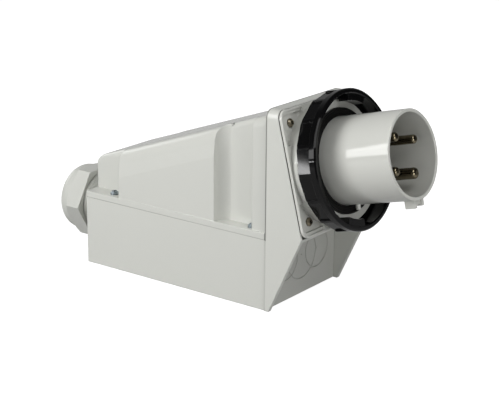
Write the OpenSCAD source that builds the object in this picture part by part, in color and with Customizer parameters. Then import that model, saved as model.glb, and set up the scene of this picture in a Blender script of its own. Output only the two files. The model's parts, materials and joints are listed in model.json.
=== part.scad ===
// Wall-mounted appliance inlet for 63 A, three poles and earth, with a
// bayonet locking ring. Millimetres. The back of the housing lies on Z = 0,
// +X points towards the inlet, and the origin is the centre of the four
// wall-fixing holes. The inlet's own pieces are drawn in the inlet frame:
// x to the right and y up as one faces the pins, z out along the inlet axis,
// from the plane of the tower's sloping front.

/* [Housing] */
// Length of the housing along the wall
base_l = 213; // [200:1:230]
// Height of the housing's side walls
base_h = 64.5; // [62:0.5:70]
// Thickness of the moulded walls
wall = 3; // [2.5:0.1:3.5]
// How far the cheeks' feet stand in front of the front panel
cheek_toe = 4.5; // [3:0.5:8]
// Diameter of the wall-fixing holes
fixing_d = 6; // [5:0.5:7]
// Distance of the wall-fixing holes from the housing's ends
fixing_end = 18.5; // [16:0.5:22]
// Distance of the wall-fixing holes from the housing's sides
fixing_side = 17.5; // [16:0.5:20]
// Diameter of the middle knock-out
knockout_big_d = 45; // [40:1:48]
// Diameter of the side knock-outs
knockout_small_d = 36; // [30:1:38]

/* [Tower] */
// Width of the tower beside the boss
side_margin = 2.5; // [2:0.1:4]
// Length of the sloping front above and below the boss
face_margin = 1.7; // [1.5:0.1:3]
// How far the tower stands out at each side of the housing
side_step = 1; // [0.5:0.1:1.5]
// Height of the tower's lower front corner above the side walls
knee_rise = 7.9; // [7:0.1:12]
// How far that corner stands in front of the panel
nose = 38; // [36:0.5:42]
// Angle of the sloping front, and so of the inlet
face_tilt = 14.2; // [12:0.1:16]
// Radius of the tower's top edges
tower_r = 8; // [5:0.5:10]

/* [Cover] */
// Height of the rim round the foot of the cover
rim_h = 6.1; // [5:0.1:8]
// How far below the tower's top the roof meets it
roof_drop = 5.5; // [4:0.1:8]
// Slope of the roof
roof_slope = 19.5; // [17:0.1:21]
// Radius of the roof's long edges
roof_r = 12; // [9:0.5:13]
// Radius of the roof's rear edge
rear_r = 9; // [6:0.5:12]
// How much deeper the rear screw pockets are than the front ones
rear_deeper = 4; // [2:0.5:6]
// Length of the rear screw pockets
rear_pocket_l = 40; // [36:1:46]
// Length of the front screw pockets
front_pocket_l = 40; // [36:1:44]
// Length of the band where the cover meets the tower
roof_band_l = 16.5; // [14:0.5:20]
// Radius of the hollow fillet at the front pockets
hollow_r = 11; // [8:0.5:11.5]
// Diameter of the cover screws' shanks
cover_screw_d = 4; // [3.5:0.5:5]

/* [Inlet] */
// Outer diameter of the shroud
shroud_od = 77; // [76:0.5:78]
// Thickness of the shroud's wall
shroud_t = 3; // [2.5:0.1:3.5]
// Distance of the shroud's rim from the tower's front
rim_a = 88.85; // [84:0.05:92]
// Thickness of the flange plate
flange_t = 2.5; // [2:0.1:3]
// Room for the connector's collar between the shroud and the boss's edge
collar_room = 15.5; // [15:0.1:16]
// Thickness of the boss's lip in front of the ring's groove
boss_lip = 2.1; // [1.6:0.1:3]
// Gap between the boss and the heads of the flange screws
flange_screw_gap = 1.6; // [0.8:0.1:2]
// Angle of the flange screws from the vertical
flange_screw_angle = 43.6; // [43:0.1:47]
// Diameter of the flange screws' shanks
flange_screw_d = 4; // [3.5:0.5:4.5]
// Width of the boss's front round the seal
seal_side = 8; // [7:0.5:9]
// How far the seal stands out from the boss's front
seal_stand = 2; // [1:0.5:3]
// Width of the key under the rim
key_w = 15; // [12:0.5:17]
// How far the key stands out from the shroud
key_h = 6; // [5:0.5:7]

/* [Bayonet ring] */
// Room between the boss's edge and the inside of the ring
ring_room = 3; // [2.5:0.1:4]
// Thickness of the ring's round band
ring_t = 4.5; // [4:0.1:5]
// Distance of the ring's back from the tower's front
ring_back_a = 12.5; // [12.3:0.1:13]
// Length of the ring along its axis
ring_l = 19.9; // [19:0.1:22]
// Width of the round band at the front of the ring
band_l = 6.4; // [5:0.1:8]
// Number of flat grips round the ring
grips = 16; // [12:1:18]
// Depth of each flat at its middle
grip_depth = 2.3; // [1.5:0.1:2.6]
// Width of the land left between two flats
land_w = 3.2; // [2.5:0.1:4.5]
// Thickness of the snap lip that holds the ring
lip_t = 3.1; // [2.8:0.1:3.4]
// Running clearance of the snap lip in its groove
ring_gap = 0.3; // [0.2:0.05:0.4]
// Angle that the ring turns between its stops
ring_turn = 45; // [30:1:50]

/* [Contacts] */
// Diameter of the circle on which the contact pins stand
pin_pcd = 40.6; // [40:0.2:42]
// Diameter of a phase pin
phase_pin_d = 8; // [7:0.5:8]
// Diameter of the earth pin
earth_pin_d = 10; // [9:0.5:10]
// How far the pins end behind the rim
pin_recess = 6.5; // [5:0.5:9]
// Distance of the contact carrier's front from the tower's front
carrier_a = 20; // [16:0.5:24]
// Length of the carrier's barrel in the inlet body
barrel_l = 40; // [36:1:44]
// Length of the terminal block behind the carrier's flange
block_a = 25; // [23:0.5:28]
// Diameter of a terminal
terminal_d = 13; // [12:0.5:14]

/* [Cable gland] */
// Height of the rear wall left above the gland's neck
gland_over = 2; // [1.5:0.1:4]
// Diameter of the neck that passes through the rear wall
neck_d = 40; // [36:0.5:40]
// Diameter of the external thread for the nut
thread_d = 59; // [56:0.5:60]
// Thickness of the nut's wall at its flats
nut_wall = 2.75; // [2.5:0.05:3.5]
// Distance of the nut's inner end from the rear wall
nut_start = 29.5; // [28:0.5:32]
// Length of the nut
nut_l = 32.5; // [30:0.5:35]
// Length of the nut's six flats
nut_flat_l = 15; // [12:0.5:17]
// Bore of the rubber seal
cable_d = 28; // [24:0.5:29]
// Thread pitch of the nut
nut_pitch = 2; // [1.5:0.5:2]
// Turns of the nut from open to tight
nut_turns = 3; // [2:0.5:3]

/* [Hidden] */

// Facets of small and of large circles
$fn = 14;
fine = 24;
large_r = 15;
function facets(r) = r > large_r ? fine : $fn;

// Small amounts: eps runs a cut past a face, fit is the clearance of pieces
// that slip into each other, and seat the one of screws in their holes
eps = 0.5;
fit = 0.2;
seat = 0.25;

// Screws: the width of a head for each millimetre of shank, the share of its
// height that is straight, the width of its crown, and its cross recess
head_factor = 1.9;
head_straight = 0.45;
head_crown = 0.62;
cross_l = 0.55;
cross_w = 0.14;
cross_floor = 0.25;
cover_head_h = 3;
middle_head_h = 2.8;
small_head_h = 2.2;

grey = [0.80, 0.81, 0.79];
black = [0.05, 0.05, 0.055];
rubber = [0.09, 0.09, 0.09];
zinc = [0.70, 0.73, 0.78];
nickel = [0.62, 0.58, 0.48];

// The inlet's boss gives the tower its width and height, and the tower's
// width is the housing's
boss_r = shroud_od / 2 + collar_room;
tower_w = 2 * (boss_r + side_margin);
base_w = tower_w - 2 * side_step;
face_l = 2 * (boss_r + face_margin);
knee_h = base_h + knee_rise;
tower_h = knee_h + face_l * cos(face_tilt);
roof_h = tower_h - roof_drop;

// Housing, worked out from the sizes above
rear_x = -base_l / 2;
toe_x = base_l / 2;
seam_x = toe_x - cheek_toe;
knee_x = seam_x + nose;
top_x = knee_x - face_l * sin(face_tilt);
face_pos = [(knee_x + top_x) / 2, 0, (knee_h + tower_h) / 2];
tower_wall = 2;
frame_t = 3;
frame_side = 9.5;
frame_over = 7;
frame_half = tower_w / 2 - frame_side;
frame_top = roof_h - frame_over;
floor_z = base_h + rim_h - wall;
fixing_l = base_l - 2 * fixing_end;
fixing_w = base_w - 2 * fixing_side;
boss_d = cover_screw_d + 5;
boss_gap = 0.1;
boss_side = 1;
cover_head_d = 2 * cover_screw_d;
rear_screw_gap = 12;
screw_y = base_w / 2 - wall - boss_side - boss_d / 2;
screw_x = [rear_x + rear_pocket_l - rear_screw_gap, seam_x - roof_band_l - cover_head_d / 2];
front_half = screw_y - cover_head_d / 2;
rear_half = front_half - rear_deeper;
block_l = seam_x - rear_x - rear_pocket_l - front_pocket_l - roof_band_l;
bite = 0.15;
crease_drop = 24;
block_lean = 1.2;
block_half = base_w / 2 - 0.4;
core_r = [6, 5];
past = 10;
cover_screw_l = 18;
fixing_seat_d = fixing_d + 7;
fixing_seat_h = wall + 3;
flange_head_d = head_factor * flange_screw_d;
flange_screw_r = boss_r + flange_screw_gap + flange_head_d / 2;
flange_screw_w = 2 * flange_screw_r * sin(flange_screw_angle);
flange_screw_h = 2 * flange_screw_r * cos(flange_screw_angle);
flange_boss_r = flange_screw_d / 2 + 2.2;
flange_screw_l = 15;
flange_boss_l = flange_screw_l + 1;
web_t = 2.4;
web_l = 10;
groove_w = 0.8;
groove_d = 0.7;
knockout_over = 2.5;
knockout_z = base_h - wall - knockout_over - knockout_big_d / 2;
knockout_pitch = knockout_big_d / 2 + 1.5;
centre_dot_d = 1.4;
gasket_w = 1.6;
gasket_t = 1.2;
bead = 1;
band_half = base_w / 2 - 2.3;
band_r = 8;
gasket_inset = 0.6;
gasket_inner = band_half - gasket_inset - gasket_w;

// Inlet, measured along its axis from the tower's front
flange_gasket_t = 1;
flange_front = flange_gasket_t + flange_t;
flange_side = 0.2;
flange_end = 0.4;
flange_w = tower_w - 2 * flange_side;
flange_h = face_l - 2 * flange_end;
flange_r = tower_r;
shroud_id = shroud_od - 2 * shroud_t;
ring_id = 2 * (boss_r + ring_room);
ring_od = ring_id + 2 * ring_t;
ring_front_a = ring_back_a + ring_l;
pocket_a = -0.5;
pocket_floor_t = 2.5;
pocket_rim = 1.8;
tray_back = pocket_a - pocket_floor_t;
pocket_step = 2;
pocket_from = 25;
pocket_inner_r = flange_r - 4;
tray_r = flange_r - 2;
tray_margin = 3.2;
tray_half = [tower_w / 2 - tower_wall - fit, face_l / 2 - tray_margin];
tray_wall = 1.6;
rim_chamfer = 0.6;
rib_t = 2;
ribs = 8;
nub_r = 2.2;
lip_a = ring_back_a;
groove_depth = 1.9;
neck_r = boss_r - groove_depth;
lip_r = neck_r + ring_gap;
groove_a = [lip_a - ring_gap, lip_a + lip_t + ring_gap];
boss_a = groove_a[1] + boss_lip;
boss_wall = 3;
seal_d = 2 * (boss_r - seal_side);
seal_a = boss_a + seal_stand;
seal_depth = 1;
seal_seat_a = boss_a - seal_depth;
root_fillet = 1.2;
skirt_a = carrier_a - barrel_l;
carrier_flange_t = 3;
carrier_screw_d = 3;
carrier_screw_l = 13;
carrier_boss_r = carrier_screw_d / 2 + 1.9;
carrier_screw_r = shroud_od / 2 + carrier_boss_r - 1;
carrier_flange_r = carrier_screw_r + carrier_boss_r + fit;
key_r = shroud_od / 2 + key_h;
key_foot_w = 3.4;
key_l = 9.5;
key_back_a = rim_a - 3 - key_l;
stop_angle = 5;
stop_play = 0.05;
stop_spare = 0.5;
notch_angle = ring_turn + stop_angle + 2 * stop_spare;
stop_from = 180;
lug_angle = 25;
lug_from = [60, 240];
lug_h = 6;
lug_gap = 5.5;
ring_edge = 0.8;
band_edge = 1.2;
back_edge = 1.6;

// Contacts
pin_angles = [30, 120, 210];
earth_angle = 300;
terminal_l = 21;
terminal_back = skirt_a - carrier_flange_t - block_a;
block_wall = 3;
terminal_block_r = pin_pcd / 2 + terminal_d / 2 + block_wall;
cover_plate_t = 3;
wire_d = 8;
clamp_screw_d = 5;
clamp_screw_l = 7;
clamp_a = terminal_back + 7;
centre_screw_d = 4;
centre_screw_l = 13;
post_wall = 3.5;
room_wall = 2.6;
post_r = centre_screw_d / 2 + post_wall;
post_room_r = pin_pcd / 2 - terminal_d / 2 - fit - room_wall;
slot_w = terminal_d - 3;
shank_step = 0.8;
neck_step = 0.4;
neck_over = 0.5;

// Gland, measured out from the rear wall
gland_h = base_h - gland_over - neck_d / 2;
nut_af = thread_d + 2 * nut_wall;
washer_t = 2;
washer_w = 1.5;
washer_d = neck_d + 2 * washer_w;
collar_af = thread_d + 1;
collar_l = 8;
body_end = nut_start + nut_flat_l - eps;
body_wall = 5;
thread_depth = 1.5;
bore_r = cable_d / 2 + thread_depth;
cavity_r = thread_d / 2 - body_wall;
seal_l = 14;
seal_sunk = 10;
seal_start = body_end - seal_l - seal_sunk;
travel = nut_pitch * nut_turns;
clamp_gap = 0.3;
clamp_start = seal_start + seal_l + travel + clamp_gap;
clamp_flange_a = body_end + travel + clamp_gap;
clamp_flange_t = 2;
nut_shoulder = clamp_flange_a + clamp_flange_t + fit;
mouth_r = cable_d / 2 + 5;
mouth_rim = 3.25;
dome_r = nut_af / 2 - mouth_r - mouth_rim;
nut_end = nut_start + nut_l;
locknut_af = neck_d + 14;
locknut_t = 7;
neck_l = wall + locknut_t + 2;

// Places its children in the inlet frame
module at_face() {
    translate(face_pos)
        rotate([0, 90 - face_tilt, 0])
            rotate([0, 0, 90])
                children();
}

// Places its children on the gland axis, with z out from the rear wall
module at_gland() {
    translate([rear_x, 0, gland_h])
        rotate([0, -90, 0])
            children();
}

// A tube from height a to height b
module tube(r_out, r_in, a, b) {
    translate([0, 0, a])
        difference() {
            cylinder(r = r_out, h = b - a, $fn = facets(r_out));
            translate([0, 0, -eps])
                cylinder(r = r_in, h = b - a + 2 * eps, $fn = facets(r_in));
        }
}

// A cylinder from height a to height b
module rod(r, a, b) {
    translate([0, 0, a])
        cylinder(r = r, h = b - a, $fn = facets(r));
}

// A part of a ring: its section runs from r_in to r_out and from a to b
module ring_part(r_in, r_out, a, b, from, angle) {
    rotate([0, 0, from])
        rotate_extrude(angle = angle, $fn = fine)
            translate([r_in, a])
                square([r_out - r_in, b - a]);
}

// A rectangle with round corners, centred on the origin
module round_rect(w, h, r) {
    square([w - 2 * r, h], center = true);
    square([w, h - 2 * r], center = true);
    for (x = [-1, 1], y = [-1, 1])
        translate([x * (w / 2 - r), y * (h / 2 - r)])
            circle(r);
}

// A six-sided prism from height a to height b, with two corners on the y axis
module hexagon(af, a, b) {
    translate([0, 0, a])
        rotate([0, 0, 30])
            cylinder(d = af / cos(30), h = b - a, $fn = 6);
}

// Extrudes a side view, drawn in x and z, to a width centred on y = 0
module across(w) {
    translate([0, w / 2, 0])
        rotate([90, 0, 0])
            linear_extrude(w)
                children();
}

// Extrudes a cross-section, drawn in y and z, from x = a to x = b
module along(a, b) {
    translate([a, 0, 0])
        rotate([90, 0, 90])
            linear_extrude(b - a)
                children();
}

// Side view of the tower and its cheeks, e mm inside the outline
module tower_side(e) {
    polygon([
        [seam_x, e],
        [toe_x - e, e],
        [knee_x - e / cos(face_tilt), knee_h],
        [top_x - e / cos(face_tilt), tower_h - e],
        [seam_x, tower_h - e]]);
}

// Cross-section of the tower, with its rounded top edges
module tower_section(e) {
    half = tower_w / 2 - e;
    translate([-half, -eps])
        square([2 * half, tower_h - tower_r + eps]);
    translate([-half + tower_r - e, 0])
        square([2 * (half - tower_r + e), tower_h - e]);
    for (s = [-1, 1])
        translate([s * (tower_w / 2 - tower_r), tower_h - tower_r])
            circle(tower_r - e);
}

// One circular knock-out groove on a face at x = 0 that looks along +x
module knockout_groove(d, y) {
    translate([0, y, knockout_z])
        rotate([0, 90, 0])
            tube(d / 2, d / 2 - groove_w, -groove_d, eps);
}

// The knock-out grooves of the front panel
module front_knockouts() {
    translate([seam_x, 0, 0]) {
        knockout_groove(knockout_big_d, 0);
        for (s = [-1, 1])
            knockout_groove(knockout_small_d, s * knockout_pitch);
        for (s = [-1, 0, 1])
            translate([-groove_d, s * knockout_pitch, knockout_z])
                rotate([0, 90, 0])
                    cylinder(d = centre_dot_d, h = groove_d + eps);
    }
}

// The flange screws' places
module flange_screw_places() {
    for (x = [-1, 1], y = [-1, 1])
        translate([x * flange_screw_w / 2, y * flange_screw_h / 2, 0])
            children();
}

// Housing: a box with an open top, its front tower, and cheeks that run
// down past the recessed front panel
module base_housing() {
    inner_half = base_w / 2 - wall;
    tower_inner = tower_w / 2 - tower_wall;
    color(grey)
        difference() {
            union() {
                difference() {
                    translate([rear_x, -base_w / 2, 0])
                        cube([seam_x - rear_x, base_w, base_h]);
                    translate([rear_x + wall, -inner_half, wall])
                        cube([seam_x - rear_x - 2 * wall, 2 * inner_half, base_h]);
                }
                // Tower and cheeks
                difference() {
                    intersection() {
                        across(tower_w)
                            tower_side(0);
                        along(seam_x, knee_x)
                            tower_section(0);
                    }
                    // The tower's inside, above its sole
                    intersection() {
                        across(2 * tower_inner)
                            polygon([
                                [seam_x + frame_t, knee_h],
                                [knee_x + nose, knee_h],
                                [knee_x + nose, tower_h - tower_wall],
                                [seam_x + frame_t, tower_h - tower_wall]]);
                        along(seam_x, knee_x + nose)
                            tower_section(tower_wall);
                    }
                    // The recess between the cheeks, up to the tower's sole
                    translate([seam_x, -inner_half, -eps])
                        cube([nose + eps, 2 * inner_half, base_h - wall + eps]);
                    translate([seam_x + frame_t, -inner_half, -eps])
                        cube([nose + eps, 2 * inner_half, knee_h - wall + eps]);
                    // The opening to the space under the cover
                    translate([seam_x - eps, -frame_half, knee_h])
                        cube([frame_t + 2 * eps, 2 * frame_half, frame_top - knee_h]);
                }
                // Front wall up to the tower's sole
                translate([seam_x - wall, -inner_half, 0])
                    cube([wall, 2 * inner_half, base_h - fit]);
                // The side walls run on into the cheeks
                for (s = [-1, 1])
                    translate([seam_x - wall, (s * (base_w - wall) - wall) / 2, 0])
                        cube([2 * wall, wall, base_h]);
                // Bosses for the cover screws
                for (x = screw_x, s = [-1, 1])
                    translate([x, s * screw_y, 0])
                        cylinder(d = boss_d, h = base_h - boss_gap);
                // Raised seats of the wall-fixing holes
                for (x = [-1, 1], y = [-1, 1])
                    translate([x * fixing_l / 2, y * fixing_w / 2, 0])
                        cylinder(d = fixing_seat_d, h = fixing_seat_h);
                // Bosses for the flange screws, inside the tower's corners
                intersection() {
                    at_face()
                        flange_screw_places()
                            rod(flange_boss_r, tray_back - flange_boss_l, tray_back);
                    across(2 * tower_inner + 2 * eps)
                        tower_side(0);
                }
                // Webs that tie those bosses to the tower's side walls
                at_face()
                    for (side = [0, 1], y = [-1, 1])
                        mirror([side, 0, 0])
                            translate([flange_screw_w / 2, y * flange_screw_h / 2 - web_t / 2,
                                tray_back - web_l])
                                cube([tower_inner - flange_screw_w / 2 + eps, web_t,
                                    web_l - fit]);
            }
            // Rebate for the cover gasket, along the walls and round the arch
            gasket_strip(base_h + eps);
            gasket_arch(gasket_inset, gasket_inset + gasket_w, seam_x - gasket_t);
            front_knockouts();
            // Hole for the gland
            at_gland()
                rod(neck_d / 2 + seat, -wall - eps, eps);
            // Wall-fixing holes
            for (x = [-1, 1], y = [-1, 1])
                translate([x * fixing_l / 2, y * fixing_w / 2, -eps])
                    cylinder(d = fixing_d, h = fixing_seat_h + 2 * eps);
            // Pilot holes of the cover screws
            for (x = screw_x, s = [-1, 1])
                translate([x, s * screw_y, base_h + rim_h - cover_screw_l - 2])
                    cylinder(d = cover_screw_d + 2 * seat, h = cover_screw_l);
            // Pilot holes of the flange screws
            at_face()
                flange_screw_places()
                    rod(flange_screw_d / 2 + seat, pocket_a - flange_screw_l - 1, tray_back + eps);
        }
}

// Height of the roof above a place along the housing, e mm below its surface
function roof_z(x, e) = roof_h - (seam_x - x) * tan(roof_slope) - e / cos(roof_slope);

// Places a cross-section, drawn in y and z, under the sloping roof: z = 0 is
// the roof's surface
module under_roof() {
    translate([seam_x, 0, roof_h])
        rotate([0, -roof_slope, 0])
            along(-2 * base_l, base_w / 2)
                children();
}

// Cross-section with rounded top edges, half mm to each side, e mm inside.
// lean is how far the wall leans in above the crease
module roof_section(half, r, e, lean) {
    crease = -crease_drop;
    low = -tower_h;
    top = half - e;
    translate([-top, low])
        square([2 * top, crease - low]);
    polygon([
        [-top, crease],
        [top, crease],
        [top - lean, -r],
        [-top + lean, -r]]);
    translate([-top + lean + r - e, -r - eps])
        square([2 * (top - lean - r + e), r - e + eps]);
    for (s = [-1, 1])
        translate([s * (half - lean - r), -r])
            circle(r - e);
}

// Side view of the cover's body, e mm inside, with its rounded rear edge
module cover_side(e) {
    r = rear_r;
    cx = rear_x + r;
    cz = roof_z(cx, r);
    tx = cx - (r - e) * sin(roof_slope);
    tz = cz + (r - e) * cos(roof_slope);
    polygon([
        [rear_x + e, base_h - wall],
        [seam_x + past, base_h - wall],
        [seam_x + past, roof_z(seam_x + past, e)],
        [tx, tz],
        [cx, cz],
        [rear_x + e, cz]]);
    translate([cx, cz])
        circle(r - e);
}

// The three stretches of the cover's body, e mm inside: a core between the
// screw pockets, the wide block, and the band that meets the tower
module cover_mass(e) {
    block_from = rear_x + rear_pocket_l;
    block_to = block_from + block_l;
    band_from = block_to + front_pocket_l;
    reach = seam_x - fit + (e > 0 ? past : 0);
    high = tower_h;
    // The fillet's centre stands a little inside the tangent place, so that it
    // meets the core at an edge
    hollow_y = front_half + hollow_r - bite;
    intersection() {
        across(base_w)
            cover_side(e);
        union() {
            // Core at the rear
            intersection() {
                linear_extrude(high)
                    translate([rear_x + e, -rear_half + e])
                        square([block_from - rear_x + past, 2 * (rear_half - e)]);
                under_roof()
                    roof_section(rear_half, core_r[0], e, 0);
            }
            // Core at the front
            intersection() {
                linear_extrude(high)
                    translate([block_from + e, -front_half + e])
                        square([reach - block_from - e, 2 * (front_half - e)]);
                under_roof()
                    roof_section(front_half, core_r[1], e, 0);
            }
            // Wide block, with a hollow fillet down to each pocket
            intersection() {
                linear_extrude(high)
                    difference() {
                        translate([block_from + e, -base_w / 2])
                            square([block_l - 2 * e + hollow_r, base_w]);
                        for (s = [-1, 1])
                            translate([block_to + hollow_r, s * hollow_y])
                                circle(hollow_r + e);
                        for (s = [-1, 1])
                            translate([block_to + hollow_r, s * (hollow_y + base_w / 2)])
                                square([2 * (hollow_r + e), base_w], center = true);
                    }
                under_roof()
                    roof_section(block_half, roof_r, e, block_lean);
            }
            // Band at the tower
            intersection() {
                linear_extrude(high)
                    translate([band_from + e, -base_w / 2])
                        square([reach - band_from - e, base_w]);
                under_roof()
                    roof_section(band_half, band_r, e, 0);
            }
        }
    }
}

// Cover: a sloping hood with a rim, and a pocket for a screw at each corner
module cover() {
    color(grey)
        difference() {
            union() {
                difference() {
                    union() {
                        translate([rear_x, -base_w / 2, base_h])
                            cube([seam_x - fit - rear_x, base_w, rim_h]);
                        intersection() {
                            cover_mass(0);
                            translate([rear_x - eps, -base_w, base_h])
                                cube([base_l, 2 * base_w, tower_h]);
                        }
                    }
                    // Inside of the hood
                    cover_mass(wall);
                    // Hollow under the rim
                    translate([rear_x + wall, -base_w / 2 + wall, base_h - eps])
                        cube([seam_x - rear_x, base_w - 2 * wall, floor_z - base_h + eps]);
                }
                // Tubes round the screws, down to the bosses of the housing
                for (x = screw_x, s = [-1, 1])
                    translate([x, s * screw_y, base_h])
                        cylinder(d = boss_d, h = rim_h);
            }
            // Screw holes
            for (x = screw_x, s = [-1, 1])
                translate([x, s * screw_y, base_h - eps])
                    cylinder(d = cover_screw_d + 2 * seat, h = rim_h + 2 * eps);
        }
}

// Strip along the top of the side and rear walls, up to a height, with a foot
// at each end that reaches in to the arch
module gasket_strip(high) {
    low = base_h - gasket_t;
    l = seam_x + gasket_t - rear_x - bead;
    half = base_w / 2 - bead;
    translate([rear_x + bead, 0, low])
        difference() {
            translate([0, -half, 0])
                cube([l, 2 * half, high - low]);
            translate([gasket_w, -half + gasket_w, -eps])
                cube([l - 2 * gasket_w, 2 * (half - gasket_w), high - low + 2 * eps]);
            translate([gasket_w, -gasket_inner - fit, -eps])
                cube([l, 2 * (gasket_inner + fit), high - low + 2 * eps]);
        }
}

// Arch in the tower's rear face, between two insets of the cover's band
module gasket_arch(from, to, start) {
    intersection() {
        translate([start, -base_w / 2, base_h - gasket_t])
            cube([seam_x + gasket_t - start, base_w, tower_h]);
        difference() {
            under_roof()
                roof_section(band_half, band_r, from, 0);
            under_roof()
                roof_section(band_half, band_r, to, 0);
        }
    }
}

// Gasket in the rebate of the housing, with an arch against the tower
module cover_gasket() {
    color(rubber) {
        gasket_strip(base_h);
        gasket_arch(gasket_inset, gasket_inset + gasket_w, seam_x - fit);
    }
}

// A screw whose head sits on z = 0, with a cross recess
module cross_screw(d, head_d, head_h, l) {
    difference() {
        union() {
            rod(d / 2, -l, 0);
            rod(head_d / 2, 0, head_h * head_straight);
            translate([0, 0, head_h * head_straight])
                cylinder(d1 = head_d, d2 = head_d * head_crown, h = head_h * (1 - head_straight));
        }
        for (a = [0, 90])
            rotate([0, 0, a])
                translate([-head_d * cross_l / 2, -head_d * cross_w / 2, head_h * cross_floor])
                    cube([head_d * cross_l, head_d * cross_w, head_h]);
    }
}

module cover_screws() {
    color(zinc)
        for (x = screw_x, s = [-1, 1])
            translate([x, s * screw_y, base_h + rim_h])
                rotate([0, 0, 25])
                    cross_screw(cover_screw_d, cover_head_d, cover_head_h, cover_screw_l);
}

// Outline of the flange plate
module flange_outline() {
    round_rect(flange_w, flange_h, flange_r);
}

// One corner pocket of the flange, as a quarter of the plate outside the boss
module pocket_outline(half_x, half_y, r) {
    difference() {
        union() {
            square([half_x - r, half_y]);
            square([half_x, half_y - r]);
            translate([half_x - r, half_y - r])
                circle(r);
        }
        circle(boss_r, $fn = fine);
        square([2 * pocket_from, 2 * half_y], center = true);
        square([2 * half_x, 2 * pocket_from], center = true);
    }
}

// The four pockets, mirrored round the inlet axis
module pockets(half_x, half_y, r, a, b) {
    for (sx = [0, 1], sy = [0, 1])
        mirror([sx, 0, 0])
            mirror([0, sy, 0])
                translate([0, 0, a])
                    linear_extrude(b - a)
                        pocket_outline(half_x, half_y, r);
}

// Inlet body: flange, boss and shroud are one moulding
module inlet_body() {
    rim_x = flange_w / 2 - pocket_rim;
    rim_y = flange_h / 2 - pocket_rim;
    inner_x = tray_half[0] - tray_wall;
    inner_y = tray_half[1] - tray_wall;
    sr = shroud_od / 2;
    color(grey)
        at_face()
            difference() {
                union() {
                    difference() {
                        union() {
                            translate([0, 0, flange_gasket_t])
                                linear_extrude(flange_t)
                                    flange_outline();
                            translate([0, 0, tray_back])
                                linear_extrude(flange_gasket_t + fit - tray_back)
                                    round_rect(2 * tray_half[0], 2 * tray_half[1], tray_r);
                        }
                        pockets(rim_x, rim_y, flange_r - pocket_rim, pocket_step, flange_front + eps);
                        pockets(inner_x, inner_y, pocket_inner_r, pocket_a, flange_front + eps);
                    }
                    // Boss, groove of the ring, shroud and skirt, as one turned form
                    rotate_extrude($fn = fine)
                        polygon([
                            [shroud_id / 2, skirt_a],
                            [sr, skirt_a],
                            [sr, flange_gasket_t],
                            [boss_r, flange_gasket_t],
                            [boss_r, groove_a[0]],
                            [neck_r, groove_a[0]],
                            [neck_r, groove_a[1]],
                            [boss_r, groove_a[1]],
                            [boss_r, boss_a - ring_edge],
                            [boss_r - ring_edge, boss_a],
                            [seal_d / 2 + fit, boss_a],
                            [seal_d / 2 + fit, seal_seat_a],
                            [sr + root_fillet, seal_seat_a],
                            [sr, seal_seat_a + root_fillet],
                            [sr, rim_a - rim_chamfer],
                            [sr - rim_chamfer, rim_a],
                            [shroud_id / 2 + rim_chamfer, rim_a],
                            [shroud_id / 2, rim_a - rim_chamfer]]);
                    // Bosses for the carrier screws
                    carrier_screw_places()
                        rod(carrier_boss_r, skirt_a, pocket_a);
                    shroud_key();
                    // Stop of the bayonet ring, in the groove
                    ring_part(neck_r - eps, boss_r - boss_gap, groove_a[0] + stop_play,
                        groove_a[1] - stop_play, stop_from, stop_angle);
                    // Nub under the root of the shroud
                    translate([0, 0, seal_a + 2 * nub_r])
                        rotate([90, 0, 0])
                            rod(nub_r, sr - 1, key_r - 1);
                }
                // Hollow behind the boss, between its wall and the skirt
                difference() {
                    tube(neck_r - boss_wall, sr, tray_back - eps, seal_seat_a - boss_wall);
                    carrier_screw_places()
                        rod(carrier_boss_r, tray_back - eps, pocket_a);
                    for (k = [0:ribs - 1])
                        rotate([0, 0, 360 / ribs * (k + 0.5)])
                            translate([sr - 1, -rib_t / 2, tray_back])
                                cube([boss_r - sr, rib_t, boss_a - tray_back]);
                }
                // Bore of the shroud
                rod(shroud_id / 2, tray_back - eps, boss_a);
                // Holes of the flange screws
                flange_screw_places()
                    rod(flange_screw_d / 2 + seat, tray_back - eps, pocket_a + eps);
                // Pilot holes of the carrier screws
                carrier_screw_places()
                    rod(carrier_screw_d / 2 + seat, skirt_a - eps, skirt_a + carrier_screw_l);
            }
}

// Key under the rim of the shroud: two feet with a set-back web between them
module shroud_key() {
    h = key_r - shroud_od / 2 + 1;
    set_back = 1.6;
    for (s = [-1, 1])
        translate([s * (key_w - key_foot_w) / 2 - key_foot_w / 2, -key_r, key_back_a])
            cube([key_foot_w, h, key_l]);
    translate([-key_w / 2, -key_r + set_back, key_back_a])
        cube([key_w, h - set_back, key_l - set_back]);
}

// Flat gasket between the flange and the tower
module flange_gasket() {
    color(rubber)
        at_face()
            linear_extrude(flange_gasket_t)
                difference() {
                    round_rect(flange_w - 2 * fit, flange_h - 2 * fit, flange_r);
                    round_rect(2 * (tray_half[0] + fit), 2 * (tray_half[1] + fit), tray_r);
                }
}

module flange_screws() {
    color(nickel)
        at_face()
            flange_screw_places()
                translate([0, 0, pocket_a])
                    rotate([0, 0, 40])
                        cross_screw(flange_screw_d, flange_head_d, middle_head_h, flange_screw_l);
}

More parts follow.
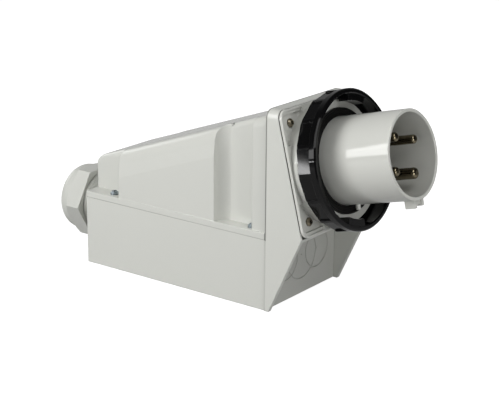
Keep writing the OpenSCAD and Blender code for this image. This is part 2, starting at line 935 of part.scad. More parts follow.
// Bayonet ring: round band at the front, flats for the hand behind it, a snap
// lip at the back and two sloping lugs inside
module bayonet_ring() {
    ro = ring_od / 2;
    ri = ring_id / 2;
    band_a = ring_front_a - band_l;
    flat_at = ro - grip_depth;
    flat_w = 2 * PI * ro / grips - land_w;
    color(black)
        at_face()
            difference() {
                union() {
                    rotate_extrude($fn = fine)
                        polygon([
                            [lip_r, lip_a],
                            [ro - back_edge, lip_a],
                            [ro, lip_a + back_edge],
                            [ro, ring_front_a - band_edge],
                            [ro - band_edge, ring_front_a],
                            [ri + ring_edge, ring_front_a],
                            [ri, ring_front_a - ring_edge],
                            [ri, lip_a + lip_t],
                            [lip_r, lip_a + lip_t]]);
                    for (from = lug_from)
                        ring_part(ri - lug_h, ri + 1, lip_a + lip_t + lug_gap,
                            ring_front_a - ring_edge, from, lug_angle);
                }
                for (k = [0:grips - 1])
                    rotate([0, 0, 360 / grips * (k + 0.5)])
                        translate([flat_at, -flat_w / 2, lip_a - eps])
                            cube([2 * grip_depth, flat_w, band_a - lip_a + eps]);
                // Room for the stop on the boss
                ring_part(lip_r - eps, boss_r + 2 * fit, lip_a - eps, lip_a + lip_t + eps,
                    stop_from - stop_spare, notch_angle);
            }
}

// Rubber seal round the root of the shroud, with a groove in its front
module root_seal() {
    r_in = shroud_od / 2 + fit;
    r_out = seal_d / 2;
    lip = 1.5;
    dip = 0.8;
    color(rubber)
        at_face()
            rotate_extrude($fn = fine)
                polygon([
                    [r_in + root_fillet, seal_seat_a],
                    [r_out, seal_seat_a],
                    [r_out, seal_a],
                    [r_out - lip, seal_a],
                    [r_out - lip - dip, seal_a - dip],
                    [r_in + lip + dip, seal_a - dip],
                    [r_in + lip, seal_a],
                    [r_in, seal_a],
                    [r_in, seal_seat_a + root_fillet]]);
}

// The carrier screws' places
module carrier_screw_places() {
    for (k = [0:2])
        rotate([0, 0, 90 + 120 * k])
            translate([carrier_screw_r, 0, 0])
                children();
}

// Places its children at one contact
module at_contact(angle) {
    rotate([0, 0, angle])
        translate([pin_pcd / 2, 0, 0])
            children();
}

// Contact carrier: a barrel in the inlet body, a flange on the skirt's end,
// and a terminal block with an open chamber for each contact
module contact_carrier() {
    angles = concat(pin_angles, [earth_angle]);
    flange_back = skirt_a - carrier_flange_t;
    color(black)
        at_face()
            difference() {
                union() {
                    rod(shroud_id / 2 - fit, skirt_a, carrier_a);
                    rod(carrier_flange_r, flange_back, skirt_a);
                    rod(terminal_block_r, terminal_back, flange_back);
                }
                for (a = angles) {
                    d = a == earth_angle ? earth_pin_d : phase_pin_d;
                    at_contact(a)
                        rod(d / 2 + neck_step + fit, terminal_back, carrier_a + eps);
                    at_contact(a)
                        rod(d / 2 + shank_step + fit, terminal_back, carrier_a - 1 + fit);
                    at_contact(a)
                        rod(terminal_d / 2 + fit, terminal_back - eps, terminal_back + terminal_l + fit);
                    rotate([0, 0, a])
                        translate([pin_pcd / 2, -slot_w / 2, terminal_back - eps])
                            cube([terminal_block_r, slot_w, terminal_l + eps]);
                }
                // Hollow in the middle of the terminal block, round its screw post
                tube(post_room_r, post_r, terminal_back - eps, terminal_back + centre_screw_l);
                rod(centre_screw_d / 2 + seat, terminal_back - eps, terminal_back + centre_screw_l);
                carrier_screw_places()
                    rod(carrier_screw_d / 2 + seat, flange_back - eps, skirt_a + eps);
            }
}

module carrier_screws() {
    color(zinc)
        at_face()
            carrier_screw_places()
                translate([0, 0, skirt_a - carrier_flange_t])
                    mirror([0, 0, 1])
                        cross_screw(carrier_screw_d, head_factor * carrier_screw_d,
                            small_head_h, carrier_screw_l);
}

// A turned contact: a round-nosed pin, a neck that fills the hole in the
// carrier's front, a thicker shank behind it, and a terminal bored for the wire
// with a threaded hole for its clamp screw
module contact(d, angle) {
    tip = rim_a - pin_recess;
    shank_a = carrier_a - 1;
    nose_r = d * 0.28;
    at_contact(angle)
        difference() {
            union() {
                rotate_extrude()
                    difference() {
                        union() {
                            translate([0, shank_a - 1])
                                square([d / 2, tip - nose_r - shank_a + 1]);
                            translate([0, tip - nose_r - eps])
                                square([d / 2 - nose_r, nose_r + eps]);
                            translate([d / 2 - nose_r, tip - nose_r])
                                circle(nose_r);
                        }
                        translate([-d, tip - 2 * d])
                            square([d, 3 * d]);
                    }
                rod(d / 2 + shank_step, terminal_back, shank_a);
                rod(d / 2 + neck_step, shank_a - eps, carrier_a + neck_over);
                rod(terminal_d / 2, terminal_back, terminal_back + terminal_l);
            }
            rod(wire_d / 2, terminal_back - eps, terminal_back + terminal_l - 4);
            translate([0, 0, clamp_a])
                rotate([0, 90, 0])
                    cylinder(d = clamp_screw_d, h = terminal_d);
        }
}

module phase_pin_1() {
    color(nickel)
        at_face()
            contact(phase_pin_d, pin_angles[0]);
}

module phase_pin_2() {
    color(nickel)
        at_face()
            contact(phase_pin_d, pin_angles[1]);
}

module phase_pin_3() {
    color(nickel)
        at_face()
            contact(phase_pin_d, pin_angles[2]);
}

module earth_pin() {
    color(nickel)
        at_face()
            contact(earth_pin_d, earth_angle);
}

// Slotted clamp screws of the four terminals
module terminal_screws() {
    from = terminal_d / 2 - 3;
    to = from + clamp_screw_l;
    slot = 1.2;
    color(zinc)
        at_face()
            for (a = concat(pin_angles, [earth_angle]))
                at_contact(a)
                    translate([0, 0, clamp_a])
                        rotate([0, 90, 0])
                            difference() {
                                rod(clamp_screw_d / 2 - boss_gap, from, to);
                                translate([-clamp_screw_d, -slot / 2, to - slot])
                                    cube([2 * clamp_screw_d, slot, 2 * slot]);
                            }
}

// Cover of the terminal block, with a hole for each wire
module terminal_cover() {
    color(black)
        at_face()
            difference() {
                rod(terminal_block_r, terminal_back - cover_plate_t, terminal_back);
                for (a = concat(pin_angles, [earth_angle]))
                    at_contact(a)
                        rod(wire_d / 2 + 4 * fit, terminal_back - cover_plate_t - eps, terminal_back + eps);
                rod(centre_screw_d / 2 + seat, terminal_back - cover_plate_t - eps, terminal_back + eps);
            }
}

module terminal_cover_screw() {
    color(zinc)
        at_face()
            translate([0, 0, terminal_back - cover_plate_t])
                mirror([0, 0, 1])
                    cross_screw(centre_screw_d, head_factor * centre_screw_d,
                        middle_head_h, centre_screw_l);
}

// Body of the gland: hexagonal collar, thread for the nut, and neck
module gland_body() {
    color(grey)
        at_gland()
            difference() {
                union() {
                    rod(neck_d / 2, -neck_l, washer_t + eps);
                    hexagon(collar_af, washer_t, washer_t + collar_l);
                    rod(thread_d / 2 - thread_depth, washer_t, body_end);
                    rod(thread_d / 2, washer_t + collar_l + 2 * thread_depth, body_end);
                }
                rod(bore_r, -neck_l - eps, body_end + eps);
                rod(cavity_r, seal_start, body_end + eps);
            }
}

module gland_washer() {
    color(rubber)
        at_gland()
            tube(washer_d / 2, neck_d / 2 + fit, 0, washer_t);
}

module gland_locknut() {
    color(grey)
        at_gland()
            difference() {
                hexagon(locknut_af, -wall - locknut_t, -wall);
                rod(neck_d / 2 + boss_gap, -wall - locknut_t - eps, -wall + eps);
            }
}

// Rubber seal that grips the cable
module gland_seal() {
    color(rubber)
        at_gland()
            tube(cavity_r - fit, cable_d / 2, seal_start, seal_start + seal_l);
}

// Ring that the nut pushes onto the seal without turning it
module gland_clamp_ring() {
    color(black)
        at_gland()
            difference() {
                union() {
                    rod(cavity_r - fit, clamp_start, clamp_flange_a + clamp_flange_t);
                    rod(thread_d / 2 - 3 * fit, clamp_flange_a, clamp_flange_a + clamp_flange_t);
                }
                rod(bore_r, clamp_start - eps, clamp_flange_a + clamp_flange_t + eps);
            }
}

// Side view of the nut, from its axis out to its corners
module nut_profile() {
    corner = nut_af / cos(30) / 2;
    flat_end = nut_start + nut_flat_l;
    shade = corner - nut_af / 2;
    polygon([
        [0, nut_start],
        [corner - ring_edge, nut_start],
        [corner, nut_start + ring_edge],
        [corner, flat_end],
        [nut_af / 2, flat_end + 0.8 * shade],
        [nut_af / 2, nut_end - dome_r],
        [nut_af / 2 - dome_r, nut_end - dome_r],
        [nut_af / 2 - dome_r, nut_end],
        [0, nut_end]]);
    translate([nut_af / 2 - dome_r, nut_end - dome_r])
        circle(dome_r);
}

// Nut: six flats that run out into a dome
module gland_nut() {
    color(grey)
        at_gland()
            difference() {
                intersection() {
                    union() {
                        rod(nut_af / 2, nut_start, nut_end);
                        hexagon(nut_af, nut_start, nut_end - dome_r);
                    }
                    rotate_extrude($fn = fine)
                        nut_profile();
                }
                rod(thread_d / 2 + boss_gap, nut_start - eps, nut_shoulder);
                rod(mouth_r, nut_shoulder - eps, nut_end + eps);
            }
}

base_housing();
cover();
cover_gasket();
cover_screws();
inlet_body();
flange_gasket();
flange_screws();
bayonet_ring();
root_seal();
contact_carrier();
carrier_screws();
phase_pin_1();
phase_pin_2();
phase_pin_3();
earth_pin();
terminal_screws();
terminal_cover();
terminal_cover_screw();
gland_body();
gland_washer();
gland_locknut();
gland_seal();
gland_clamp_ring();
gland_nut();
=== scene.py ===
import json
import math

import bmesh
import bpy
from mathutils import Matrix, Vector


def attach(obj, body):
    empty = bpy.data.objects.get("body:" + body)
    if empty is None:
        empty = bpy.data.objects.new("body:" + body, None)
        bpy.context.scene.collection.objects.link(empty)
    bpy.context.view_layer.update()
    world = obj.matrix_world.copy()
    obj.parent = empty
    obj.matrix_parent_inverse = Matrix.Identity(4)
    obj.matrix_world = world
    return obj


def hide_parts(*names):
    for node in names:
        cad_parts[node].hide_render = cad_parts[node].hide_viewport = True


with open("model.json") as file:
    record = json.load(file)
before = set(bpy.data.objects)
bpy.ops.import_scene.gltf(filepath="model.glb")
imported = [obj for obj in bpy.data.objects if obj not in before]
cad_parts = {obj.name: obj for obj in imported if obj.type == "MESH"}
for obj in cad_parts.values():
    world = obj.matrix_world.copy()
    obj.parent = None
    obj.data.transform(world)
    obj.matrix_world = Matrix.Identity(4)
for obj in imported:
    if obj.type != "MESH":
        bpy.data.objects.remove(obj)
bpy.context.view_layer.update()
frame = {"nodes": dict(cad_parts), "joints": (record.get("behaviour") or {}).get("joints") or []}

# Studio
# The inlet lies on its back on a wide white table, lit by large soft boxes as
# for a catalogue picture. The camera stands in front of it, to its right.
CAMERA_POS = (0.77748, -0.99092, 0.45820)
CAMERA_TURN, CAMERA_TILT, CAMERA_ROLL = (math.radians(a) for a in (36.503, 17.204, 0.468))
LENS, SENSOR = 102.04, 36.0
FOCUS = Vector((0.06, 0.0, 0.09))
TABLE_HALF, TABLE_HEIGHT = 6.0, -0.0004
TABLE_WHITE = (0.32, 0.32, 0.32, 1.0)
TABLE_GLOW, TABLE_GLOSS = 0.96, 0.30
ROOM_WHITE = (1.0, 1.0, 1.0, 1.0)
ROOM_GLOW, ROOM_LIGHT = 1.0, 0.07
# A reflection sees a dark room with one paler side, which starts and is full
# at these cosines from its middle.
DARK_ROOM, BACKDROP_GLOSS = 0.02, 0.32
BACKDROP_SIDE = (-0.595, 0.804, 0.0)
BACKDROP_START, BACKDROP_FULL = 0.55, 0.9
# name: direction from the object, distance, width and height in metres, watts
SOFT_BOXES = {
    "main_box": ((-0.35, -0.75, 0.55), 1.5, 0.8, 0.8, 13.2),
    "fill_box": ((0.28, -0.95, 0.06), 1.5, 0.8, 0.5, 2.6),
    "front_box": ((0.60, -0.25, 0.76), 1.5, 0.8, 0.8, 6.0),
    "low_box": ((0.96, -0.25, 0.12), 1.5, 0.7, 0.6, 5.9),
    "gloss_box": ((-0.44, -0.87, 0.22), 1.5, 0.75, 0.30, 4.0),
    "ring_box": ((-0.565, -0.824, 0.059), 1.501, 0.08, 0.025, 0.16),
    "back_box": ((0.05, 0.97, 0.20), 1.5, 0.9, 0.7, 10.5),
    "rear_box": ((-0.94, 0.10, 0.33), 1.5, 0.6, 0.6, 2.4),
}
NOT_MIRRORED = ("fill_box", "back_box")


def photo_camera():
    camera = bpy.data.objects.new("photo_camera", bpy.data.cameras.new("photo_camera"))
    bpy.context.scene.collection.objects.link(camera)
    turn, tilt, roll = CAMERA_TURN, CAMERA_TILT, CAMERA_ROLL
    back = Vector((math.sin(turn) * math.cos(tilt), -math.cos(turn) * math.cos(tilt), math.sin(tilt)))
    level = Vector((math.cos(turn), math.sin(turn), 0.0))
    upright = back.cross(level)
    right = math.cos(roll) * level + math.sin(roll) * upright
    up = -math.sin(roll) * level + math.cos(roll) * upright
    axes = Matrix((right, up, back)).transposed().to_4x4()
    camera.matrix_world = Matrix.Translation(CAMERA_POS) @ axes
    camera.data.lens = LENS
    camera.data.sensor_width = SENSOR
    bpy.context.scene.camera = camera


def soft_box(name, direction, distance, width, height, watts):
    lamp = bpy.data.lights.new(name, "AREA")
    lamp.shape = "RECTANGLE"
    lamp.size, lamp.size_y, lamp.energy = width, height, watts
    box = bpy.data.objects.new(name, lamp)
    bpy.context.scene.collection.objects.link(box)
    towards = Vector(direction).normalized()
    box.location = FOCUS + towards * distance
    box.rotation_euler = towards.to_track_quat("Z", "Y").to_euler()
    box.visible_glossy = name not in NOT_MIRRORED


class Wire:
    """A shader value: one socket, on which Python's operators add Math nodes."""

    def __init__(self, tree, socket=None):
        self.tree, self.socket = tree, socket

    def add(self, kind, sockets=(), output=0, **settings):
        """Adds any node: first its settings, then the values or links of its sockets."""
        node = self.tree.nodes.new(kind)
        for key, value in settings.items():
            setattr(node, key, value)
        for key, value in dict(sockets).items():
            if isinstance(value, Wire):
                self.tree.links.new(value.socket, node.inputs[key])
            else:
                node.inputs[key].default_value = value
        return Wire(self.tree, node.outputs[output] if node.outputs else None)

    def maths(self, operation, *values):
        return self.add("ShaderNodeMath", enumerate(values), operation=operation)

    def __add__(self, other):
        return self.maths("ADD", self, other)

    def __radd__(self, other):
        return self.maths("ADD", other, self)

    def __sub__(self, other):
        return self.maths("SUBTRACT", self, other)

    def __rsub__(self, other):
        return self.maths("SUBTRACT", other, self)

    def __mul__(self, other):
        return self.maths("MULTIPLY", self, other)

    def __rmul__(self, other):
        return self.maths("MULTIPLY", other, self)

    def __gt__(self, other):
        return self.maths("GREATER_THAN", self, other)

    def __abs__(self):
        return self.maths("ABSOLUTE", self)


def by_ray(start, to_camera, in_gloss, as_light):
    """One value that the camera sees, one for a gloss or a glass, and one that lights things."""
    camera = start.add("ShaderNodeLightPath", output="Is Camera Ray")
    gloss = Wire(start.tree, camera.socket.node.outputs["Is Glossy Ray"])
    glass = Wire(start.tree, camera.socket.node.outputs["Is Transmission Ray"])
    mirror = start.maths("MAXIMUM", gloss, glass)
    return camera * to_camera + (1.0 - camera) * (mirror * in_gloss + (1.0 - mirror) * as_light)


def white_room():
    world = bpy.data.worlds.new("white_room")
    world.use_nodes = True
    bpy.context.scene.world = world
    world.node_tree.nodes.clear()
    start = Wire(world.node_tree)
    towards = start.add("ShaderNodeTexCoord", output="Generated")
    facing = start.add("ShaderNodeVectorMath", {0: towards, 1: BACKDROP_SIDE},
                       output="Value", operation="DOT_PRODUCT")
    sweep = start.add("ShaderNodeMapRange", {0: facing, 1: BACKDROP_START, 2: BACKDROP_FULL,
                                             3: DARK_ROOM, 4: BACKDROP_GLOSS})
    strength = by_ray(start, ROOM_GLOW, sweep, ROOM_LIGHT)
    glow = start.add("ShaderNodeBackground", {"Color": ROOM_WHITE, "Strength": strength})
    start.add("ShaderNodeOutputWorld", {"Surface": glow})


def white_table():
    mesh = bpy.data.meshes.new("white_table")
    corners = ((-1, -1), (1, -1), (1, 1), (-1, 1))
    mesh.from_pydata([(x * TABLE_HALF, y * TABLE_HALF, TABLE_HEIGHT) for x, y in corners], [], [(0, 1, 2, 3)])
    table = bpy.data.objects.new("white_table", mesh)
    bpy.context.scene.collection.objects.link(table)
    paint = bpy.data.materials.new("white_table")
    paint.use_nodes = True
    paint.node_tree.nodes.clear()
    start = Wire(paint.node_tree)
    lit = start.add("ShaderNodeBsdfDiffuse", {"Color": TABLE_WHITE})
    glow = start.add("ShaderNodeEmission", {"Strength": by_ray(start, TABLE_GLOW, TABLE_GLOSS, 0.0)})
    both = start.add("ShaderNodeAddShader", {0: lit, 1: glow})
    start.add("ShaderNodeOutputMaterial", {"Surface": both})
    mesh.materials.append(paint)


photo_camera()
for box_name, box_sizes in SOFT_BOXES.items():
    soft_box(box_name, *box_sizes)
white_room()
white_table()
bpy.context.scene.view_settings.view_transform = "Standard"

# Housing and cover
# Two injection mouldings in light grey polyester-filled plastic, with a gloss
# skin from the polished mould and soft edges. The cover is screwed on.
MM = 0.001
LIGHT_GREY = (0.625, 0.632, 0.592)
GREY_SWAY = 0.012
# Colour of the painted shade along the joints between parts.
SEAM_PAINTED_SHADE = (0.10, 0.10, 0.09, 1.0)
SEAM_CORE = 0.6
COVER_FRONT, COVER_FOOT = 102.0 * MM, 64.5 * MM
GRAIN_SCALE, WAVE_SCALE, CLOUD_SCALE = 2600.0, 26.0, 140.0


def moulded(name, colour, roughness, edge, grain=0.002 * MM, sway=0.012 * MM, gloss_level=0.5, painted_seam_shades=()):
    """Moulded plastic: a fine skin grain, a slow waviness, edges rounded by the mould, and painted shade.

    Each painted seam shade is an axis, its place, half its width, how much the painted shade darkens it,
    and how high above the wall it starts."""
    material = bpy.data.materials.new(name)
    material.use_nodes = True
    tree = material.node_tree
    shader = tree.nodes["Principled BSDF"]
    start = Wire(tree)
    place = start.add("ShaderNodeTexCoord", output="Object")
    fine = start.add("ShaderNodeTexNoise", {"Vector": place, "Scale": GRAIN_SCALE, "Detail": 2.0})
    broad = start.add("ShaderNodeTexNoise", {"Vector": place, "Scale": WAVE_SCALE, "Detail": 2.0})
    cloud = start.add("ShaderNodeTexNoise", {"Vector": place, "Scale": CLOUD_SCALE, "Detail": 4.0,
                                             "Roughness": 0.6})
    dark = tuple(c * (1.0 - GREY_SWAY) for c in colour) + (1.0,)
    light = tuple(c * (1.0 + GREY_SWAY) for c in colour) + (1.0,)
    shade = start.add("ShaderNodeMix", {"Factor": 0.6 * broad + 0.4 * cloud, 6: dark, 7: light},
                      output=2, data_type="RGBA")
    # Painted shade: each entry darkens the colour in a band along a joint, where the gap's shade falls.
    for axis, at, half, depth, lowest in painted_seam_shades:
        spread = start.add("ShaderNodeSeparateXYZ", {"Vector": place}, output=axis)
        height = start.add("ShaderNodeSeparateXYZ", {"Vector": place}, output="Z")
        shadow = start.add("ShaderNodeMapRange", {0: abs(spread - at), 1: SEAM_CORE * half, 2: half,
                                                  3: depth, 4: 0.0})
        shade = start.add("ShaderNodeMix", {"Factor": shadow * (height > lowest), 6: shade, 7: SEAM_PAINTED_SHADE},
                          output=2, data_type="RGBA")
    gloss = roughness - 0.015 + 0.02 * cloud + 0.01 * fine
    soft = start.add("ShaderNodeBevel", {"Radius": edge}, samples=6)
    waves = start.add("ShaderNodeBump", {"Height": broad, "Distance": sway, "Normal": soft, "Strength": 1.0})
    skin = start.add("ShaderNodeBump", {"Height": fine, "Distance": grain, "Normal": waves, "Strength": 1.0})
    tree.links.new(shade.socket, shader.inputs["Base Color"])
    tree.links.new(gloss.socket, shader.inputs["Roughness"])
    tree.links.new(skin.socket, shader.inputs["Normal"])
    shader.inputs["Specular IOR Level"].default_value = gloss_level
    return material


def dress(material, *nodes):
    """Gives CAD nodes their finish."""
    for node in nodes:
        mesh = frame["nodes"][node].data
        mesh.materials.clear()
        mesh.materials.append(material)


# Painted shade along the joint at the cover's front and along the cover's foot.
dress(moulded("housing_grey", LIGHT_GREY, 0.28, edge=0.9 * MM,
              painted_seam_shades=[("X", COVER_FRONT, 1.3 * MM, 0.18, 0.0),
                     ("X", COVER_FRONT, 1.4 * MM, 0.70, COVER_FOOT)]), "base_housing")
dress(moulded("cover_grey", LIGHT_GREY, 0.17, edge=1.2 * MM,
              painted_seam_shades=[("X", COVER_FRONT, 1.7 * MM, 0.85, 0.0),
                     ("Z", COVER_FOOT, 0.8 * MM, 0.28, 0.0)]), "cover")

# Cover gasket and screws
# A dark rubber strip lies in the rebate under the cover. Four zinc-plated
# steel screws with a cross recess hold the cover in its corner pockets.
RUBBER, RUBBER_BLOOM = (0.005, 0.005, 0.005, 1.0), (0.011, 0.011, 0.010, 1.0)
RUBBER_GRAIN, BLOOM_SCALE = 1900.0, 90.0
BLUE_ZINC, ZINC_STAIN = (0.58, 0.64, 0.68, 1.0), (0.20, 0.26, 0.30, 1.0)
SPOT_SCALE = 900.0
# Colour and reach of the painted shade in recesses, taken from ambient occlusion.
RECESS_PAINTED_SHADE, RECESS_DEPTH = (0.015, 0.018, 0.020, 1.0), 1.6 * MM
# Occlusion values below which the painted shade is full, and above which there is none.
FULL_SHADE_BELOW, NO_SHADE_ABOVE = 0.35, 0.9


def rubber(name, roughness):
    """Moulded rubber: matt, with a dusty bloom that varies."""
    material = bpy.data.materials.new(name)
    material.use_nodes = True
    tree = material.node_tree
    shader = tree.nodes["Principled BSDF"]
    start = Wire(tree)
    place = start.add("ShaderNodeTexCoord", output="Object")
    fine = start.add("ShaderNodeTexNoise", {"Vector": place, "Scale": RUBBER_GRAIN, "Detail": 3.0})
    bloom = start.add("ShaderNodeTexNoise", {"Vector": place, "Scale": BLOOM_SCALE, "Detail": 4.0})
    shade = start.add("ShaderNodeMix", {"Factor": bloom, 6: RUBBER, 7: RUBBER_BLOOM},
                      output=2, data_type="RGBA")
    shader.inputs["Specular IOR Level"].default_value = 0.08
    soft = start.add("ShaderNodeBevel", {"Radius": 0.3 * MM}, samples=4)
    skin = start.add("ShaderNodeBump", {"Height": fine, "Distance": 0.012 * MM, "Normal": soft})
    tree.links.new(shade.socket, shader.inputs["Base Color"])
    tree.links.new((roughness - 0.06 + 0.12 * bloom).socket, shader.inputs["Roughness"])
    tree.links.new(skin.socket, shader.inputs["Normal"])
    return material


def plated(name, colour, stain, roughness):
    """Plated metal: a bright coat with small dull stains, and painted shade in its recesses."""
    material = bpy.data.materials.new(name)
    material.use_nodes = True
    tree = material.node_tree
    shader = tree.nodes["Principled BSDF"]
    shader.inputs["Metallic"].default_value = 1.0
    start = Wire(tree)
    place = start.add("ShaderNodeTexCoord", output="Object")
    spots = start.add("ShaderNodeTexNoise", {"Vector": place, "Scale": SPOT_SCALE, "Detail": 4.0,
                                             "Roughness": 0.65})
    shade = start.add("ShaderNodeMix", {"Factor": spots, 6: colour, 7: stain}, output=2, data_type="RGBA")
    # Painted shade: ambient occlusion darkens the colour in recesses, such as a screw's cross recess.
    open_sky = start.add("ShaderNodeAmbientOcclusion", {"Distance": RECESS_DEPTH}, output="AO", samples=8)
    unshaded = start.add("ShaderNodeMapRange", {0: open_sky, 1: FULL_SHADE_BELOW, 2: NO_SHADE_ABOVE, 3: 0.0, 4: 1.0})
    shade = start.add("ShaderNodeMix", {"Factor": unshaded, 6: RECESS_PAINTED_SHADE, 7: shade},
                      output=2, data_type="RGBA")
    soft = start.add("ShaderNodeBevel", {"Radius": 0.15 * MM}, samples=4)
    skin = start.add("ShaderNodeBump", {"Height": spots, "Distance": 0.01 * MM, "Normal": soft})
    tree.links.new(shade.socket, shader.inputs["Base Color"])
    tree.links.new((roughness - 0.08 + 0.16 * spots).socket, shader.inputs["Roughness"])
    tree.links.new(skin.socket, shader.inputs["Normal"])
    return material


gasket_rubber = rubber("gasket_rubber", 0.62)
zinc = plated("blue_zinc", BLUE_ZINC, ZINC_STAIN, 0.32)
dress(gasket_rubber, "cover_gasket")
dress(zinc, "cover_screws")

# Inlet body
# Flange, boss and shroud are one grey moulding. It sits on a black flat gasket
# on the tower's front and is held by four nickel-washed brass screws.
SHROUD_GREY = (0.640, 0.645, 0.605)
WASHED_BRASS, BRASS_STAIN = (0.34, 0.30, 0.22, 1.0), (0.16, 0.14, 0.10, 1.0)
dress(moulded("inlet_grey", SHROUD_GREY, 0.07, edge=0.6 * MM), "inlet_body")
dress(gasket_rubber, "flange_gasket")
dress(plated("washed_brass", WASHED_BRASS, BRASS_STAIN, 0.3), "flange_screws")

# Locking ring
# A black moulding with a high gloss, snapped over the groove of the boss. It
# is turned by hand on its flats and draws the connector in by its two lugs.
RING_BLACK = (0.004, 0.004, 0.0042)
dress(moulded("ring_black", RING_BLACK, 0.06, edge=0.4 * MM, grain=0.0004 * MM, sway=0.004 * MM,
              gloss_level=0.2), "bayonet_ring")

# Seal at the root of the shroud
# A black rubber ring with a groove in its face, which the connector's collar
# presses on when the ring is turned.
dress(rubber("seal_rubber", 0.42), "root_seal")

# Contact carrier
# A dark moulding that holds the contacts and their terminals, with a cover
# over the terminals; screws hold both from behind.
CARRIER_DARK = (0.03, 0.03, 0.032)
dress(moulded("carrier_dark", CARRIER_DARK, 0.45, edge=0.3 * MM), "contact_carrier", "terminal_cover")
dress(zinc, "carrier_screws", "terminal_screws", "terminal_cover_screw")

# Contacts
# Four pins turned from brass rod and nickel-plated, with a round nose. Three
# are for the phases, and the thicker one is the earth.
ring_joint = next(j for j in frame["joints"] if j["name"] == "ring_turn")
INLET_AXIS = Vector(ring_joint["axis"]).normalized()
PIN_METAL, PIN_STAIN = (0.30, 0.26, 0.18, 1.0), (0.16, 0.135, 0.085, 1.0)
TOOL_MARKS, STAIN_SCALE = 5200.0, 260.0


def turned_pin(name):
    """Turned and plated: fine rings round the axis and a warm, worn tone."""
    material = bpy.data.materials.new(name)
    material.use_nodes = True
    tree = material.node_tree
    shader = tree.nodes["Principled BSDF"]
    shader.inputs["Metallic"].default_value = 1.0
    start = Wire(tree)
    place = start.add("ShaderNodeTexCoord", output="Object")
    along = start.add("ShaderNodeVectorMath", {0: place, 1: INLET_AXIS},
                      output="Value", operation="DOT_PRODUCT")
    rings = start.add("ShaderNodeTexNoise", {"W": along, "Scale": TOOL_MARKS, "Detail": 2.0},
                      noise_dimensions="1D")
    stain = start.add("ShaderNodeTexNoise", {"Vector": place, "Scale": STAIN_SCALE, "Detail": 4.0})
    shade = start.add("ShaderNodeMix", {"Factor": stain, 6: PIN_METAL, 7: PIN_STAIN},
                      output=2, data_type="RGBA")
    skin = start.add("ShaderNodeBump", {"Height": rings, "Distance": 0.004 * MM})
    tree.links.new(shade.socket, shader.inputs["Base Color"])
    tree.links.new((0.10 + 0.10 * stain).socket, shader.inputs["Roughness"])
    tree.links.new(skin.socket, shader.inputs["Normal"])
    return material


dress(turned_pin("pin_metal"), "phase_pin_1", "phase_pin_2", "phase_pin_3", "earth_pin")

# Cable gland
# A grey gland of the large kind: hexagonal body with a long thread through
# the rear wall, a flat seal, a locknut, a rubber seal, a clamp ring and a nut.
REAR_WALL, GLAND_HEIGHT = -106.5 * MM, 42.5 * MM
NECK_R, NECK_BACK = 20.0 * MM, -12.0 * MM
COLLAR_FLATS, COLLAR_CORNER_R = 60.0 * MM, 34.2 * MM
COLLAR_BACK, COLLAR_FRONT = 2.0 * MM, 10.0 * MM
THREAD_CREST, THREAD_ROOT, THREAD_PITCH = 29.45 * MM, 28.1 * MM, 2.0 * MM
THREAD_RUN_OUT = 0.5 * THREAD_PITCH
THREAD_START, BODY_END = 12.0 * MM, 44.0 * MM
BORE_R, CAVITY_R, SEAL_SEAT = 15.5 * MM, 24.5 * MM, 20.0 * MM
GLAND_EDGE = 0.6 * MM
GLAND_STEPS, ROWS_PER_PITCH = 96, 10
# Shares of the thread's depth: how high the ridge's flanks would meet, and how
# far they fall over half a pitch. Above 1 the ridge is cut off flat.
RIDGE_PEAK, RIDGE_FALL = 1.35, 2.7
GLAND_GREY = (0.60, 0.607, 0.568)


def collar(angle):
    """Radius of the collar at an angle from the top: a hexagon with its corners at the sides."""
    off = math.radians((math.degrees(angle) + 30.0) % 60.0 - 30.0)
    return COLLAR_FLATS / 2 / math.cos(off)


def collar_side(angle):
    """The collar's outline, with its corners turned round."""
    return min(collar(angle), COLLAR_CORNER_R)


def collar_end(angle):
    """The collar's outline at its two ends, inside its broken edge."""
    return min(collar(angle), COLLAR_CORNER_R - GLAND_EDGE) - GLAND_EDGE


def thread_radius(out):
    """Radius of the thread at one distance from the wall: a blunt ridge, one turn each pitch."""
    def radius(angle):
        turn = (out / THREAD_PITCH - angle / (2 * math.pi)) % 1.0
        ridge = min(1.0, max(0.0, RIDGE_PEAK - RIDGE_FALL * abs(2 * turn - 1)))
        fade = min(1.0, (out - THREAD_START) / THREAD_RUN_OUT, (BODY_END - out) / THREAD_RUN_OUT)
        return THREAD_ROOT + (THREAD_CREST - THREAD_ROOT) * ridge * max(0.0, fade)
    return radius


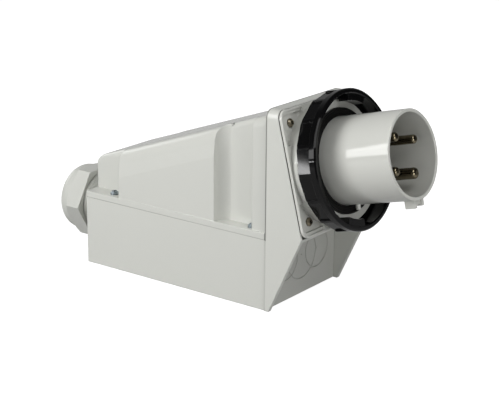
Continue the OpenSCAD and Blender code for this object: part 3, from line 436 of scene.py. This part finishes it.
def lathed(name, rows):
    """A closed tube round the gland's axis. Each row is its distance from the wall and its radius."""
    mesh = bmesh.new()
    loops = []
    for out, radius in rows:
        loop = []
        for step in range(GLAND_STEPS):
            angle = 2 * math.pi * step / GLAND_STEPS
            r = radius(angle) if callable(radius) else radius
            across, above = r * math.sin(angle), r * math.cos(angle)
            loop.append(mesh.verts.new((REAR_WALL - out, across, GLAND_HEIGHT + above)))
        loops.append(loop)
    for this, following in zip(loops, loops[1:] + loops[:1]):
        for step in range(GLAND_STEPS):
            after = (step + 1) % GLAND_STEPS
            mesh.faces.new((this[step], this[after], following[after], following[step]))
    bmesh.ops.recalc_face_normals(mesh, faces=mesh.faces)
    data = bpy.data.meshes.new(name)
    mesh.to_mesh(data)
    mesh.free()
    piece = bpy.data.objects.new(name, data)
    bpy.context.scene.collection.objects.link(piece)
    return piece


body_rows = [(NECK_BACK, BORE_R), (NECK_BACK, NECK_R - GLAND_EDGE), (NECK_BACK + GLAND_EDGE, NECK_R),
             (COLLAR_BACK, NECK_R), (COLLAR_BACK, collar_end), (COLLAR_BACK + GLAND_EDGE, collar_side),
             (COLLAR_FRONT - GLAND_EDGE, collar_side), (COLLAR_FRONT, collar_end),
             (COLLAR_FRONT, THREAD_ROOT)]
thread_length = BODY_END - THREAD_START
thread_rows = int(round(thread_length / (THREAD_PITCH / ROWS_PER_PITCH)))
for row in range(thread_rows + 1):
    out = THREAD_START + thread_length * row / thread_rows
    body_rows.append((out, thread_radius(out)))
body_rows += [(BODY_END, CAVITY_R), (SEAL_SEAT, CAVITY_R), (SEAL_SEAT, BORE_R)]
gland_body = lathed("gland_body_threaded", body_rows)
gland_grey = moulded("gland_grey", GLAND_GREY, 0.30, edge=0.7 * MM)
gland_body.data.materials.append(gland_grey)
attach(gland_body, "root")
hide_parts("gland_body")
dress(gland_grey, "gland_nut", "gland_locknut")
dress(gasket_rubber, "gland_washer", "gland_seal")
dress(moulded("clamp_dark", CARRIER_DARK, 0.45, edge=0.3 * MM), "gland_clamp_ring")
